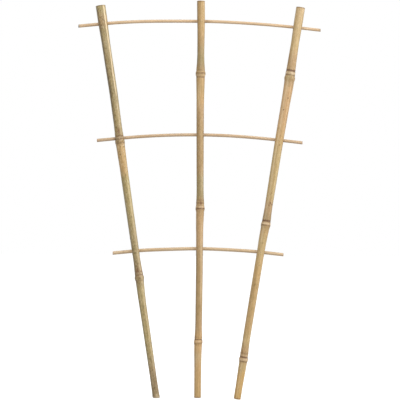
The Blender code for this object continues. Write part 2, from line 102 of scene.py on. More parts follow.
# Cane: where its foot stands, across and up, and its lean to the right in degrees. Cut short: how much
# shorter than planned its top was sawn. Root: height and width of the joint under the foot, which the
# saw took off. Neck and crown: width under the flare of the top, and at the top. Hole lifts: how much too
# high each hole for a rod was drilled, from the top one down. Crooks: heights, and how far right of a
# straight axis the real one lies there. Flecks: how strongly the skin is speckled. Gloss: its roughness.
# Tones: its colours by height.
SHAPE_FIELDS = "name foot lean cut_short root neck crown hole_lifts crooks joints "
MARK_FIELDS = "scars buds streaks dots flecks gloss tones"
Cane = namedtuple("Cane", SHAPE_FIELDS + MARK_FIELDS)
CANES = (
    Cane(
        name="left",
        foot=(-0.0623, 0.0017),
        lean=-8.59,
        cut_short=0.0015,
        root=(-0.178, 0.0100),
        neck=0.0130,
        crown=0.0148,
        hole_lifts=(0.0022, -0.0006, -0.0005),
        crooks=(
            (0.115, -0.0003), (0.150, -0.0005), (0.185, 0.0003), (0.250, 0.0001),
            (0.395, 0.0001), (0.465, 0.0009), (0.545, 0.0001),
        ),
        joints=(
            Joint(0.0020, 0.0103, 0.0106, 0.0113),
            Joint(0.1825, 0.0110, 0.0110, 0.0145),
            Joint(0.3900, 0.0121, 0.0121, 0.0150),
        ),
        scars=(
            Scar(0.1925, 0.0009, 0.9, -0.00015),
            Scar(0.1872, 0.0009, 0.8, -0.0001),
            Scar(0.1840, 0.0010, 0.3, 0.0001),
            Scar(0.1790, 0.0007, 0.5, -0.0001),
            Scar(0.3990, 0.0009, 0.9, -0.0001),
            Scar(0.3968, 0.0010, -0.15, 0.0003),
            Scar(0.3945, 0.0009, 0.8, -0.0002),
            Scar(0.3885, 0.0008, 0.7, -0.0001),
        ),
        buds=(Bud(0.1940, -0.15, 0.0028), Bud(0.4055, 0.05, 0.0032), Bud(0.3988, -1.0, 0.0014)),
        # Duller streaks at the left edge are painted shade. The paler ones from 0.6 right of the middle
        # are painted highlight, including the cream stripe up the top internode.
        streaks=(
            Streak(0.455, 0.606, 0.68, 0.0011, 0.75),
            Streak(0.455, 0.606, 0.30, 0.0012, -0.30),
            Streak(0.400, 0.460, 0.60, 0.0020, 0.22),
            Streak(0.410, 0.606, -0.80, 0.0020, -0.80),
            Streak(0.452, 0.505, -0.52, 0.0016, -0.45),
            Streak(0.480, 0.560, -0.34, 0.0012, 0.14),
            Streak(0.000, 0.345, -0.84, 0.0016, -0.50),
            Streak(0.190, 0.345, -0.60, 0.0014, -0.22),
            Streak(0.030, 0.330, 0.62, 0.0019, 0.26),
            Streak(0.150, 0.185, -0.10, 0.0018, -0.20),
            Streak(0.090, 0.168, -0.28, 0.0013, 0.16),
            Streak(0.090, 0.168, 0.18, 0.0012, -0.18),
            Streak(0.010, 0.090, -0.35, 0.0013, 0.10),
            Streak(0.010, 0.090, 0.35, 0.0016, -0.18),
            Streak(0.235, 0.330, -0.45, 0.0014, 0.10),
            Streak(0.235, 0.330, 0.15, 0.0014, -0.12),
            Streak(-0.020, 0.010, 0.40, 0.0026, 0.55),
        ),
        dots=(
            Dot(0.5683, -0.33, 0.0012), Dot(0.5730, -0.45, 0.0007), Dot(0.5810, 0.02, 0.0008),
            Dot(0.5930, -0.39, 0.0008), Dot(0.5900, -0.11, 0.0007), Dot(0.5872, -0.58, 0.0009),
            Dot(0.5915, -0.74, 0.0008), Dot(0.5796, -0.33, 0.0007), Dot(0.5790, -0.88, 0.0009),
            Dot(0.5640, -0.33, 0.0008), Dot(0.5580, 0.00, 0.0007),
        ),
        flecks=1.0,
        gloss=0.36,
        tones=(
            (0.000, DARK_UMBER), (0.034, DARK_UMBER), (0.045, UMBER), (0.058, GREY_OLIVE),
            (0.070, DRY_GRASS), (0.145, DRY_GRASS), (0.165, KHAKI), (0.188, UMBER),
            (0.215, GREY_OLIVE), (0.255, OLIVE), (0.285, KHAKI), (0.335, KHAKI), (0.350, SAND),
            (0.385, SAND), (0.394, UMBER), (0.410, MOSS), (0.430, MOSS), (0.446, GREY_OLIVE),
            (0.472, GREY_OLIVE), (0.488, MOSS), (0.512, MOSS), (0.530, OLIVE), (0.560, OLIVE),
            (0.575, COCOA), (0.590, KHAKI), (0.600, KHAKI),
        ),
    ),
    Cane(
        name="centre",
        foot=(0.0, 0.0023),
        lean=0.0,
        cut_short=0.0005,
        root=(-0.096, 0.0100),
        neck=0.0110,
        crown=0.0119,
        hole_lifts=(0.0002, 0.0006, 0.0006),
        crooks=(
            (0.070, 0.0), (0.095, 0.0006), (0.190, 0.0012), (0.258, 0.0010), (0.286, 0.0015),
            (0.345, 0.0009), (0.440, 0.0003), (0.560, 0.0006),
        ),
        joints=(
            Joint(0.0840, 0.0103, 0.0106, 0.0132),
            Joint(0.2855, 0.0107, 0.0106, 0.0140),
            Joint(0.4900, 0.0107, 0.0115, 0.0153),
        ),
        scars=(
            Scar(0.0915, 0.0008, 0.3, 0.0001),
            Scar(0.0881, 0.0008, 1.0, -0.0001),
            Scar(0.0852, 0.0014, -0.30, 0.0001),
            Scar(0.0820, 0.0009, 0.55, -0.0001),
            Scar(0.2985, 0.0007, 0.5, 0.0),
            Scar(0.2945, 0.0009, 0.7, 0.0002),
            Scar(0.2885, 0.0014, -0.25, 0.0001),
            Scar(0.2856, 0.0010, 1.3, -0.0001),
            Scar(0.4946, 0.0008, 0.4, -0.0001),
            Scar(0.4901, 0.0010, 0.9, -0.0001),
            Scar(0.4870, 0.0014, -0.3, 0.0001),
            Scar(0.4841, 0.0009, 0.9, -0.0002),
        ),
        buds=(Bud(0.2930, 0.17, 0.0024),),
        # Duller streaks at both edges are painted shade, and the paler ones right of the middle are
        # painted highlight.
        streaks=(
            Streak(0.500, 0.606, -0.93, 0.0013, -0.80),
            Streak(0.030, 0.075, -0.84, 0.0016, -0.50),
            Streak(0.100, 0.230, -0.91, 0.0014, -0.65),
            Streak(0.140, 0.275, 0.55, 0.0016, 0.22),
            Streak(0.235, 0.268, -0.66, 0.0012, -0.40),
            Streak(0.235, 0.275, 0.85, 0.0014, -0.15),
            Streak(0.330, 0.430, -0.66, 0.0014, -0.28),
            Streak(0.305, 0.350, 0.45, 0.0016, 0.20),
            Streak(0.350, 0.480, 0.90, 0.0014, -0.15),
            Streak(0.430, 0.480, -0.35, 0.0018, 0.30),
        ),
        dots=(
            # The dot at 0.5655 by the right edge is painted shade under the top rod, at the rim of its
            # hole.
            Dot(0.2167, 0.95, 0.0010), Dot(0.2301, 0.97, 0.0012), Dot(0.5655, 0.98, 0.0012),
            Dot(0.0920, -0.78, 0.0011), Dot(0.0888, -0.72, 0.0010), Dot(0.0915, 0.90, 0.0010),
            Dot(0.0868, 0.88, 0.0013), Dot(0.0838, 0.90, 0.0012),
        ),
        flecks=0.4,
        gloss=0.45,
        tones=(
            (0.000, SAND), (0.030, SAND), (0.048, PEACH), (0.062, PALE_STRAW), (0.076, PEACH),
            (0.090, WARM_TAN), (0.102, ROSE_TAN), (0.130, COCOA), (0.215, COCOA), (0.240, ROSE),
            (0.275, ROSE), (0.294, COCOA), (0.306, GREY_OLIVE), (0.330, GREY_OLIVE), (0.345, COCOA),
            (0.412, COCOA), (0.432, ROSE_TAN), (0.452, WARM_TAN), (0.470, TAN), (0.486, TAN),
            (0.500, UMBER), (0.512, GREY_OLIVE), (0.535, COCOA), (0.552, TAN), (0.600, TAN),
        ),
    ),
    Cane(
        name="right",
        foot=(0.0599, 0.00082),
        lean=8.72,
        cut_short=0.0006,
        root=(-0.1195, 0.0108),
        neck=0.0122,
        crown=0.0134,
        hole_lifts=(0.0, -0.0003, 0.0002),
        crooks=(
            (0.057, 0.0), (0.095, -0.0007), (0.165, -0.0006), (0.245, -0.0003), (0.268, 0.0006),
            (0.300, 0.0004), (0.400, 0.0002), (0.475, 0.0010), (0.520, 0.0004),
        ),
        joints=(
            Joint(0.0605, 0.0112, 0.0108, 0.0138),
            Joint(0.2665, 0.0117, 0.0116, 0.0147),
            Joint(0.4910, 0.0131, 0.0136, 0.0165),
        ),
        scars=(
            Scar(0.0702, 0.0010, 0.6, 0.0001),
            Scar(0.0671, 0.0012, -0.32, 0.0),
            Scar(0.0643, 0.0008, 2.8, -0.0002),
            Scar(0.0605, 0.0017, -0.45, 0.0001),
            Scar(0.0574, 0.0008, 0.9, -0.0001),
            Scar(0.2729, 0.0011, 3.0, -0.0002),
            Scar(0.2687, 0.0016, -0.35, 0.0001),
            Scar(0.2660, 0.0008, 1.0, -0.0001),
            Scar(0.5024, 0.0011, 3.0, -0.0003),
            Scar(0.4987, 0.0018, -0.55, 0.0001),
            Scar(0.4957, 0.0008, 0.9, -0.0001),
        ),
        buds=(),
        # Duller streaks at both edges are painted shade.
        streaks=(
            Streak(0.000, 0.060, -0.92, 0.0013, -0.40),
            Streak(0.066, 0.105, -0.88, 0.0015, -0.45),
            Streak(0.000, 0.060, -0.30, 0.0018, 0.22),
            Streak(0.140, 0.210, -0.45, 0.0018, -0.20),
            Streak(0.235, 0.500, 0.08, 0.0018, -0.14),
            Streak(0.235, 0.495, -0.42, 0.0016, 0.34),
            Streak(0.280, 0.350, 0.88, 0.0014, -0.25),
            Streak(0.360, 0.495, 0.84, 0.0020, -0.25),
            Streak(0.506, 0.545, -0.26, 0.0018, 0.22),
            Streak(0.506, 0.530, -0.90, 0.0014, -0.45),
            Streak(0.545, 0.600, 0.92, 0.0012, -0.40),
            Streak(0.545, 0.600, -0.93, 0.0010, -0.30),
        ),
        dots=(
            Dot(0.4607, 0.30, 0.0009), Dot(0.4424, -0.26, 0.0009), Dot(0.3888, 0.20, 0.0008),
            Dot(0.3005, 0.22, 0.0012), Dot(0.2985, 0.68, 0.0013), Dot(0.2390, 0.10, 0.0007),
            Dot(0.2970, 0.00, 0.0008), Dot(0.3155, 0.20, 0.0007),
        ),
        flecks=0.55,
        gloss=0.44,
        tones=(
            (0.000, HONEY), (0.036, HONEY), (0.052, STRAW), (0.062, ROSE_TAN), (0.076, ROSE_TAN),
            (0.090, STRAW), (0.104, TAN), (0.175, TAN), (0.195, SAND), (0.225, STRAW),
            (0.240, WHEAT), (0.254, TAN), (0.266, COCOA), (0.278, UMBER), (0.294, ROSE_TAN),
            (0.310, WHEAT), (0.380, WHEAT), (0.400, SAND), (0.432, PINK_AMBER), (0.476, PINK_AMBER),
            (0.484, ROSE_TAN), (0.492, COCOA), (0.498, OLIVE), (0.504, COCOA), (0.518, ROSE_TAN),
            (0.540, STRAW), (0.600, PALE_STRAW),
        ),
    ),
)
RIDGE = 0.0025  # height of the ridge round a joint
SWELL_ABOVE, SWELL_BELOW = 0.028, 0.040  # how far from a joint a cane starts to swell
FLARE_START, FLARE_END = 0.055, 0.025  # depths below the top between which a cane widens towards it

# The swelling above and below a ridge: points as shares of its reach and of the ridge's own swell
SWELL_OUTLINE_ABOVE = ((1.0, 0.0), (0.6, 0.16), (0.36, 0.42), (0.12, 0.58))
SWELL_OUTLINE_BELOW = ((0.11, 0.50), (1.0, 0.0))

OUTLINE_ROUNDING, CROOK_ROUNDING = 0.0011, 0.004  # how far to either side a corner is rounded off


def smoothed(x, points, reach):
    """Straight-line reading of (position, value) points at x, averaged over reach to either side."""
    at, values = np.array(sorted(points)).T
    return np.mean([np.interp(x + shift, at, values) for shift in np.linspace(-reach, reach, 7)], axis=0)


def hump(x, middle, reach, reach_above=None):
    """Bell curve of height 1 at middle, with half width reach, or its own half width above middle."""
    away = x - middle
    width = reach if reach_above is None else np.where(away < 0.0, reach, reach_above)
    return np.exp(-np.square(away / width))


def waves(turn, along, seed, length, orders=(2, 3, 5)):
    """Slow unevenness between -1 and 1: a few cosines round the stem, each of which drifts along it."""
    draw = np.random.default_rng(seed)
    total = np.zeros(np.broadcast(turn, along).shape)
    for order in orders:
        phase, drift = draw.uniform(0.0, 2.0 * np.pi, 2)
        total += np.cos(order * turn + phase + np.sin(2.0 * np.pi * along / length + drift) * 1.5)
    return total / len(orders)


def sawn_top(cane):
    return CANE_LENGTH - cane.cut_short


def sway(cane, height):
    """How far a cane's axis lies right of a straight one: it runs straight from crook to crook."""
    return smoothed(height, [(0.0, 0.0), *cane.crooks, (CANE_LENGTH, 0.0)], CROOK_ROUNDING)


def axis_point(cane, height):
    lean, aside = np.radians(cane.lean), sway(cane, height)
    x = cane.foot[0] + np.sin(lean) * height + np.cos(lean) * aside
    z = cane.foot[1] + np.cos(lean) * height - np.sin(lean) * aside
    return np.stack([x, np.zeros_like(x), z], axis=-1)


def cane_radius(cane, height):
    """Mean radius: straight tapers, a ridge on a longer swelling at each joint, and a flare towards the
    sawn top, with every corner of that outline rounded off."""
    points = [cane.root, (CANE_LENGTH - FLARE_START, cane.neck), (CANE_LENGTH - FLARE_END, cane.crown)]
    for joint in cane.joints:
        points += [(joint.height - RIDGE / 2, joint.ridge), (joint.height + RIDGE / 2, joint.ridge)]
        for reach, outline, plain in (
            (SWELL_ABOVE, SWELL_OUTLINE_ABOVE, joint.above),
            (-SWELL_BELOW, SWELL_OUTLINE_BELOW, joint.below),
        ):
            swell = joint.ridge - plain
            points += [(joint.height + reach * far, plain + share * swell) for far, share in outline]
    return smoothed(height, points, OUTLINE_ROUNDING) / 2


def from_side(cane, turn, side, height):
    """Distance round the skin from the line up its front that lies this far to the side."""
    return np.angle(np.exp(1j * (turn + np.arccos(side)))) * cane_radius(cane, height)


SCAR_WANDER = 0.0003
SCAR_RELIEF = 0.8  # width of a scar's relief, as a share of its stain's
BUD_LIP, BUD_DENT, BUD_FLAT = 0.00045, 0.00035, 0.00022
FLAT_REACH, FLAT_START, FLAT_LENGTH = 0.0022, 0.002, 0.045
INSIDE, OVAL, UNEVEN = 0.993, 0.005, 0.003  # shares of the radius; the first leaves room for the others


def scar_place(scar, turn, number):
    """A scar's height wanders a little round the cane."""
    return scar.height + SCAR_WANDER * waves(turn, 0.0, number + 11, 1.0, (1, 2, 3))


def scar_rise(cane, turn, height):
    """How far the scars stand proud of the skin, or lie in it where that is negative."""
    rise = np.zeros(np.broadcast(turn, height).shape)
    for number, scar in enumerate(cane.scars):
        rise += scar.rise * hump(height, scar_place(scar, turn, number), scar.reach * SCAR_RELIEF)
    return rise


def bud_rise(cane, turn, height):
    """A bud scar is a small lip under a dent, and the internode above it has a long shallow flat."""
    rise = np.zeros(np.broadcast(turn, height).shape)
    for bud in cane.buds:
        size = bud.size
        away = from_side(cane, turn, bud.side, bud.height)
        lip = hump(away, 0.0, size) * hump(height, bud.height - size, size / 2)
        dent = hump(away, 0.0, size * 0.6) * hump(height, bud.height, size, size * 1.5)
        flat = hump(away, 0.0, FLAT_REACH) * hump(height, bud.height, FLAT_START, FLAT_LENGTH)
        rise += BUD_LIP * lip - BUD_DENT * dent - BUD_FLAT * flat
    return rise


def skin_radius(cane, turn, height):
    """The outside of a cane: mean radius, slightly oval and uneven, with its scars and buds."""
    seed = CANES.index(cane) * 100
    oval = INSIDE + OVAL * waves(turn, height, seed + 1, 0.37, (2,))
    uneven = UNEVEN * waves(turn, height, seed + 2, 0.11, (3, 5, 8))
    radius = cane_radius(cane, height) * (oval + uneven) + scar_rise(cane, turn, height)
    return radius + bud_rise(cane, turn, height)


def closed_skin(name, rings, start, end):
    """Mesh of a closed surface from rings of points, rows by sides, and the points that close its ends.
    Seen from outside, each face runs round the ring and then on to the next one."""
    rows, sides, _ = rings.shape
    verts = np.concatenate([rings.reshape(-1, 3), [start, end]])
    side = np.arange(sides)
    following = (side + 1) % sides
    here = np.arange(rows - 1)[:, None] * sides
    onward = here + sides
    quads = np.stack([here + side, here + following, onward + following, onward + side], axis=-1)
    first, last = np.full(sides, rows * sides), np.full(sides, rows * sides + 1)
    start_fan = np.stack([first, following, side], axis=-1)
    end_fan = np.stack([onward[-1] + side, onward[-1] + following, last], axis=-1)
    mesh = bpy.data.meshes.new(name)
    faces = quads.reshape(-1, 4).tolist() + start_fan.tolist() + end_fan.tolist()
    mesh.from_pydata(verts.tolist(), [], faces)
    return mesh


def round_skin(name, centres, radii, across, away):
    """Rings of radii, rows by sides, about centres; they turn from across towards away."""
    turn = np.linspace(0.0, 2.0 * np.pi, radii.shape[1], endpoint=False)[:, None]
    rings = centres[:, None] + radii[..., None] * (np.cos(turn) * across + np.sin(turn) * away)
    return closed_skin(name, rings, centres[0], centres[-1])


PLAIN_RINGS, JOINT_RINGS, DOT_RINGS = 400.0, 3200.0, 1600.0  # rings per metre of cane
JOINT_REACH, DOT_REACH = 0.011, 0.003
JOINT_RISE = 0.002  # a joint's marks lie round a point this far above its ridge


def cane_heights(cane):
    """Heights of a cane's rings. They lie evenly in the sum of a steady density and a bell-shaped one
    over each joint and dot, so that they are 2.5 mm apart on plain cane and 0.3 to 0.5 mm on these."""
    fine = np.linspace(SAW_EDGE, sawn_top(cane) - SAW_EDGE, 6000)
    at_joints = sum(hump(fine, joint.height + JOINT_RISE, JOINT_REACH) for joint in cane.joints)
    at_dots = sum(hump(fine, dot.height, DOT_REACH) for dot in cane.dots)
    density = PLAIN_RINGS + JOINT_RINGS * at_joints + DOT_RINGS * np.minimum(at_dots, 1.0)
    count = np.cumsum(density) * (fine[1] - fine[0])
    return np.interp(np.linspace(count[0], count[-1], int(count[-1])), count, fine)


LEVEL_REACH = 0.008  # height over which the slant of a level foot fades out


def level_foot(cane, across, height):
    """How much a point of the cane is raised because its foot was sawn level, if it was."""
    if cane.name != "left":
        return np.zeros_like(height)
    return across * np.tan(np.radians(cane.lean)) * np.clip(1.0 - height / LEVEL_REACH, 0.0, 1.0)


def cane_frame(cane):
    """Unit vectors to the right of a cane, straight back, and up along it."""
    lean = np.radians(cane.lean)
    across, up = np.array([np.cos(lean), 0.0, -np.sin(lean)]), np.array([np.sin(lean), 0.0, np.cos(lean)])
    return across, np.array([0.0, 1.0, 0.0]), up


FACE_RINGS, FIBRE_ENDS = 10, 0.00007  # rings of a sawn face, and how unevenly its fibres end


def solid_cane(cane):
    """The cane before it is hollowed: its skin, a narrow bevel at each sawn end and a flat end face
    whose fibres stand out or lie back by a few hundredths of a millimetre."""
    heights = cane_heights(cane)
    turn = np.linspace(0.0, 2.0 * np.pi, CANE_SIDES, endpoint=False)
    radii = skin_radius(cane, turn, heights[:, None])
    shares = np.linspace(0.15, 1.0, FACE_RINGS)[:, None]
    foot_face, top_face = (radii[0] - SAW_EDGE) * shares, (radii[-1] - SAW_EDGE) * shares[::-1]
    radii = np.concatenate([foot_face, radii, top_face])
    rough = FIBRE_ENDS * np.random.default_rng(CANES.index(cane)).random(FACE_RINGS)
    heights = np.concatenate([rough, heights, sawn_top(cane) - rough])
    across, away, up = cane_frame(cane)
    centres = axis_point(cane, heights)
    outward = np.cos(turn)[:, None] * across + np.sin(turn)[:, None] * away
    rings = centres[:, None] + radii[..., None] * outward
    rings += level_foot(cane, radii * np.cos(turn), heights[:, None])[..., None] * up
    return closed_skin(f"{cane.name}_cane", rings, centres[0], centres[-1])


def bore_spans(cane):
    """Where a cane is hollow: the heights of the joints at either end, with the width of the plain cane
    there. A hollow that stays shut at both ends is left filled."""
    bottoms = [cane.root, *((joint.height, joint.above) for joint in cane.joints)]
    tops = [*((joint.height, joint.below) for joint in cane.joints), (CANE_LENGTH, cane.neck)]
    holes = [hole_height(cane, row) for row in range(3)]
    for (bottom, low_width), (top, high_width) in zip(bottoms, tops):
        opened = bottom < 0.0 or top == CANE_LENGTH or any(bottom < hole < top for hole in holes)
        if opened and top > SEPTUM:
            yield (bottom, top), (low_width, high_width)


BORE_SIDES, BORE_RINGS = 28, 40
BORE_DOME = 0.003  # how far from its shut end a hollow starts to close in
BORE_CLOSING = 0.96  # how far it closes, where 1 is to a point
END_ANGLE = 0.06  # rings are spaced as on a half circle, which starts at this angle
PAST_END = 0.002  # how far a hollow's cutter runs out of an open end


def bore(cane, ends, widths):
    """A hollow follows the taper of its internode one wall inside it, and its shut ends are domed."""
    bottom, top = max(ends[0] + SEPTUM / 2, -PAST_END), ends[1] - SEPTUM / 2
    if ends[1] == CANE_LENGTH:
        top = CANE_LENGTH + PAST_END
    angles = np.linspace(END_ANGLE, np.pi - END_ANGLE, BORE_RINGS)
    heights = bottom + (top - bottom) * (1.0 - np.cos(angles)) / 2
    radii = np.interp(heights, ends, np.array(widths) / 2 - CANE_WALL)
    for depth in (heights - bottom, top - heights):
        radii *= np.sqrt(1.0 - np.square(1.0 - np.clip(depth / BORE_DOME, 0.0, 1.0)) * BORE_CLOSING)
    radii = np.repeat(radii[:, None], BORE_SIDES, axis=1)
    across, away, _ = cane_frame(cane)
    return round_skin("bore", axis_point(cane, heights), radii, across, away)


TOP_HOLE_DEPTH, HOLE_SPACING = 0.0315, 0.172  # every cane is drilled alike, counted from its top
OFF_SQUARE = 2.7  # a rod crosses an outer cane this many degrees flatter than square to it
HOLE_WIDTH = 0.0055  # one drill made every hole for the rods
PIN_LENGTH, PIN_SHANK, PIN_HEAD = 0.009, 0.0012, 0.0019
PIN_SIDES = 28
PIN_PLAY = 0.00004  # a driven pin leaves next to no gap round itself
PIN_CLEAR = 0.002  # how far in front of the cane the cut of a pin's hole starts
DRILL_REACH, DRILL_WANDER = 0.012, 0.00005


def hole_height(cane, row):
    return CANE_LENGTH - TOP_HOLE_DEPTH - row * HOLE_SPACING + cane.hole_lifts[row]


def crossing(cane, row):
    return axis_point(cane, np.array(hole_height(cane, row)))


def rod_slope(cane):
    """How steeply a rod rises to the right where it crosses this cane."""
    return -np.sign(cane.lean) * np.tan(np.radians(max(abs(cane.lean) - OFF_SQUARE, 0.0)))


def rod_drill(cane, row):
    """A round drill through the cane, in the direction of the rod where they cross. The bit wandered,
    so its hole is a few hundredths of a millimetre out of round."""
    slope = rod_slope(cane)
    along = np.array([1.0, 0.0, slope]) / np.hypot(1.0, slope)
    reach = np.linspace(-DRILL_REACH, DRILL_REACH, 13)
    turn = np.linspace(0.0, 2.0 * np.pi, 40, endpoint=False)
    radii = HOLE_WIDTH / 2 + DRILL_WANDER * waves(turn, reach[:, None], row + 31, 0.05, (2, 3, 5))
    across, away = np.array([-along[2], 0.0, along[0]]), np.array([0.0, -1.0, 0.0])
    return round_skin("rod_drill", crossing(cane, row) + reach[:, None] * along, radii, across, away)


def pin_profile(play):
    """Radius and depth of a wire pin from the crown of its flat head to its point, moved out by play."""
    head, shank = PIN_HEAD / 2, PIN_SHANK / 2
    profile = np.array([
        (head * 0.35, 0.0), (head * 0.75, 0.00003), (head, 0.00012), (head, 0.00034),
        (head * 0.9, 0.0004), (shank, 0.00045), (shank, PIN_LENGTH / 2),
        (shank, PIN_LENGTH - 0.0012), (shank * 0.15, PIN_LENGTH),
    ])
    return profile[:, 0] + play, profile[:, 1]


def pin_seat(cane, row):
    """The front of the cane where a pin is driven in, level with the middle of the rod."""
    front = skin_radius(cane, FRONT, np.array(hole_height(cane, row)))
    return crossing(cane, row) - np.array([0.0, float(front), 0.0])


def pin_skin(name, seat, play, proud):
    """A pin's profile turned about its axis, which runs straight back from its seat. Proud is how far
    the first ring stands out in front, as it does on the shape that cuts the pin's hole."""
    radii, depths = pin_profile(play)
    depths = depths.copy()
    if proud:
        radii, depths = np.insert(radii, 0, radii[2]), np.insert(depths, 0, -proud)
        radii[1:3] = radii[3]
        depths[-1] += play
    centres = seat + depths[:, None] * np.array([0.0, 1.0, 0.0])
    radii = np.repeat(radii[:, None], PIN_SIDES, axis=1)
    return round_skin(name, centres, radii, np.array([1.0, 0.0, 0.0]), np.array([0.0, 0.0, -1.0]))


def pin_drill(cane, row):
    """The shape of a pin with its play, run out in front of the cane, which cuts the pin's hole."""
    return pin_skin("pin_drill", pin_seat(cane, row), PIN_PLAY, PIN_CLEAR)


def cut_away(mesh, cutters):
    """Takes the cutters' shapes out of a solid, all at once, and gives the mesh that is left."""
    solid = bpy.data.objects.new(mesh.name, mesh)
    bpy.context.scene.collection.objects.link(solid)
    tools = bpy.data.collections.new("tools")
    bpy.context.scene.collection.children.link(tools)
    for cutter in cutters:
        tools.objects.link(bpy.data.objects.new(cutter.name, cutter))
    boolean = solid.modifiers.new("cut away", "BOOLEAN")
    boolean.operation, boolean.solver = "DIFFERENCE", "EXACT"
    boolean.operand_type, boolean.collection = "COLLECTION", tools
    boolean.use_self = True
    cut = bpy.data.meshes.new_from_object(solid.evaluated_get(bpy.context.evaluated_depsgraph_get()))
    for spent in [solid, *tools.objects]:
        bpy.data.objects.remove(spent, do_unlink=True)
    bpy.data.collections.remove(tools)
    for spent in [mesh, *cutters]:
        bpy.data.meshes.remove(spent)
    return cut


def points_of(mesh):
    points = np.empty(len(mesh.vertices) * 3, dtype=np.float32)
    mesh.vertices.foreach_get("co", points)
    return points.reshape(-1, 3).astype(float)


def give(mesh, name, values):
    """Stores numbers or vectors on the mesh's points, for its material to read."""
    kind, field = ("FLOAT", "value") if values.ndim == 1 else ("FLOAT_VECTOR", "vector")
    layer = mesh.attributes.new(name, kind, "POINT")
    layer.data.foreach_set(field, np.ascontiguousarray(values, dtype=np.float32).ravel())


def cane_place(cane, points):
    """Where points lie in the cane's own frame: right of its axis, behind it, and up from its foot."""
    lean = np.radians(cane.lean)
    x, z = points[:, 0] - cane.foot[0], points[:, 2] - cane.foot[1]
    height = np.sin(lean) * x + np.cos(lean) * z
    across = np.cos(lean) * x - np.sin(lean) * z - sway(cane, height)
    return np.stack([across, points[:, 1], height - level_foot(cane, across, height)], axis=-1)


# The last is the strength of painted shade round each drilled hole.
DOT_STAIN, RIM_STAIN, HOLE_SHADE = 1.2, 0.8, 0.5  # 1 or more hides the skin
RIM_REACH, HOLE_REACH = 0.0007, 0.0004
PATCH_LEVEL, PATCH_SWING = 0.90, 0.50  # how strong a scar line is on the whole, and how unevenly
STREAK_WANDER, STREAK_FADE, FADE_SWING = 0.0005, 0.012, 0.006


def cane_marks(cane, place):
    """How strongly each point is stained dark, bleached pale, reddened by a bud's scar or lies in a paler
    or a duller streak, from 0 up. Dark are the scar lines, the dots, the rims of the sawn ends and a thin
    ring of painted shade round and inside each drilled hole. Duller streaks along the flanks are painted
    shade, and paler ones right of the middle mostly painted highlight. Scar lines are patchy, and streaks
    wander and fade out."""
    turn, height = np.arctan2(place[:, 1], place[:, 0]), place[:, 2]
    dark, pale, bud_red, highlight_and_pale_streak, dull = np.zeros((5, len(height)))
    for number, scar in enumerate(cane.scars):
        patches = PATCH_LEVEL + PATCH_SWING * waves(turn, 0.0, number + 51, 1.0, (3, 5, 9))
        line = hump(height, scar_place(scar, turn, number), scar.reach)
        mark = abs(scar.stain) * np.clip(patches, 0.5, 1.2) * line
        if scar.stain > 0.0:
            dark += mark
        else:
            pale += mark
    for bud in cane.buds:
        away = from_side(cane, turn, bud.side, bud.height)
        bud_red += hump(away, 0.0, bud.size * 0.7) * hump(height, bud.height, bud.size, bud.size * 2.2)
    for dot in cane.dots:
        away = from_side(cane, turn, dot.side, dot.height)
        dark += DOT_STAIN * hump(away, 0.0, dot.size) * hump(height, dot.height, dot.size)
    # Streaks: painted shade along the flanks and painted highlight right of the middle, besides the
    # skin's own stripes
    for number, streak in enumerate(cane.streaks):
        wander = STREAK_WANDER * waves(np.zeros_like(height), height, number + 91, 0.09, (1, 2))
        fading = STREAK_FADE + FADE_SWING * waves(turn, 0.0, number + 131, 1.0, (5, 9))
        fade_in = np.clip((height - streak.low) / fading, 0.0, 1.0)
        fade_out = np.clip((streak.high - height) / fading, 0.0, 1.0)
        away = from_side(cane, turn, streak.side, (streak.low + streak.high) / 2)
        mark = abs(streak.paler) * (fade_in * fade_out) * hump(away, wander, streak.reach)
        if streak.paler > 0.0:
            highlight_and_pale_streak += mark
        else:
            dull += mark
    for end in (0.0, sawn_top(cane)):
        dark += RIM_STAIN * hump(height, end, RIM_REACH)
    # A thin ring of painted shade round and inside each drilled hole, where the rod sits in it
    flatter = np.tan(np.radians(OFF_SQUARE)) * -np.sign(cane.lean)
    for row in range(3):
        above_hole = height - hole_height(cane, row) - place[:, 0] * flatter
        from_rim = np.hypot(above_hole, place[:, 1]) - HOLE_WIDTH / 2
        dark += HOLE_SHADE * hump(from_rim, 0.0, HOLE_REACH)
    return {"dark": dark, "pale": pale, "bud": bud_red, "highlight_and_pale_streak": highlight_and_pale_streak, "dull": dull}


CUT_DEPTH = SAW_EDGE * 0.7  # how far under the skin the middle of a cut face lies at least


def skin_or_section(cane, mesh, place):
    """Faces that lie inside the cane's skin, in a bore, a hole or a sawn end, show its cut section."""
    sides = np.empty(len(mesh.polygons), dtype=np.int32)
    mesh.polygons.foreach_get("loop_total", sides)
    corners = np.empty(len(mesh.loops), dtype=np.int32)
    mesh.loops.foreach_get("vertex_index", corners)
    starts = np.concatenate([[0], np.cumsum(sides)[:-1]])
    middle = np.add.reduceat(place[corners], starts) / sides[:, None]
    outside = np.hypot(middle[:, 0], middle[:, 1])
    radius = skin_radius(cane, np.arctan2(middle[:, 1], middle[:, 0]), middle[:, 2])
    cut = outside < radius - CUT_DEPTH
    mesh.polygons.foreach_set("material_index", cut.astype(np.int32))


def node(tree, kind, inputs=(), **settings):
    """Adds a node. Inputs pairs sockets with a number, a colour or another node's output."""
    made = tree.nodes.new("ShaderNode" + kind)
    for key, value in settings.items():
        setattr(made, key, value)
    for name, value in dict(inputs).items():
        socket = made.inputs[name]
        if isinstance(value, bpy.types.NodeSocket):
            tree.links.new(value, socket)
        else:
            socket.default_value = (*value, 1.0) if socket.type == "RGBA" else value
    return made


def blend(tree, share, under, over):
    """Colour between under and over, by share from 0 to 1."""
    return node(tree, "Mix", {0: share, 6: under, 7: over}, data_type="RGBA").outputs[2]


def tinted(tree, share, colour, tint):
    """Colour multiplied by a tint, by share from 0 to 1."""
    inputs = {0: share, 6: colour, 7: tint}
    return node(tree, "Mix", inputs, data_type="RGBA", blend_type="MULTIPLY").outputs[2]


def scaled(tree, value, factor):
    """One value times another, either of them a number or an output."""
    return node(tree, "Math", {0: value, 1: factor}, operation="MULTIPLY").outputs[0]


